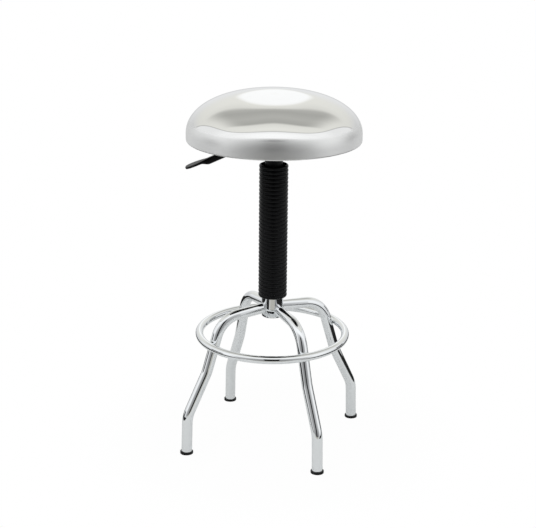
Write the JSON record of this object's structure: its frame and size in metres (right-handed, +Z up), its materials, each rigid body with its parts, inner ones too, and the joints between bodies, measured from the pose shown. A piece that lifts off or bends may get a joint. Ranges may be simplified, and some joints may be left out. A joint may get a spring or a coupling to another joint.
{
  "type": "machinist stool",
  "caption": "Height-adjustable workshop stool with a contoured round steel seat, gas lift under a ribbed bellows, bent tube legs, a foot ring and a release lever.",
  "frame": {"origin": "on the floor, midway between the four feet, under the lift's axis", "axes": "+Z up along the lift, -Y towards the front of the seat (the picture's camera), +X to the right in the picture; the release lever is on -X"},
  "size_m": [0.3774, 0.3774, 0.7404],
  "materials": {
    "stainless": "satin",
    "chrome": "mirror",
    "bellows_rubber": "matte",
    "seal_rubber": "matte",
    "black_plastic": "matte",
    "nylon": "matte",
    "black_steel": "satin",
    "bright_steel": "bright",
    "alloy": "machined"
  },
  "bodies": {
    "base": {"hub_tube": "chrome", "foot_ring": "chrome", "leg_front_right": "chrome", "leg_rear_right": "chrome", "leg_rear_left": "chrome", "leg_front_left": "chrome", "glide_front_right": "black_plastic", "glide_rear_right": "black_plastic", "glide_rear_left": "black_plastic", "glide_front_left": "black_plastic", "lift_outer_tube": "black_steel", "guide_bush": "nylon", "bearing_race_lower": "bright_steel", "bearing_ball_cage": "bright_steel", "dust_bellows": "bellows_rubber"},
    "rod": {"piston_rod": "bright_steel", "piston": "alloy", "piston_ring": "nylon", "piston_nut": "bright_steel", "end_stop": "seal_rubber", "bearing_race_upper": "bright_steel", "rod_clip": "bright_steel"},
    "seat": {"seat_shell": "stainless", "seat_pan": "black_steel", "seat_bracket": "black_steel", "seat_socket": "black_steel", "seat_bolts": "bright_steel", "seat_nuts": "bright_steel", "gas_cylinder": "black_steel", "rod_guide": "nylon", "rod_seal": "seal_rubber", "valve_body": "alloy", "lever_pivot_pin": "bright_steel"},
    "lever": {"lever_arm": "bright_steel", "lever_paddle": "black_plastic"},
    "release_pin": {"release_pin": "bright_steel"}
  },
  "joints": [
    {"name": "swivel", "type": "hinge", "parent": "base", "child": "rod", "pos_m": [0, 0, 0.285], "axis": [0, 0, 1], "continuous": true},
    {"name": "height", "type": "slide", "parent": "rod", "child": "seat", "axis": [0, 0, 1], "range_m": [-0.114, 0], "deforming": ["dust_bellows"]},
    {"name": "lever_pull", "type": "hinge", "parent": "seat", "child": "lever", "pos_m": [-0.03, 0, 0.6373], "axis": [0, 1, 0], "range_deg": [0, 5], "stiffness_Nm_per_rad": 1, "springref_deg": -5.73},
    {"name": "valve_press", "type": "slide", "parent": "seat", "child": "release_pin", "axis": [0, 0, 1], "range_m": [-0.003, 0]}
  ],
  "couplings": [
    {"joint": "valve_press", "follows": "lever_pull", "m_per_rad": -0.033}
  ]
}
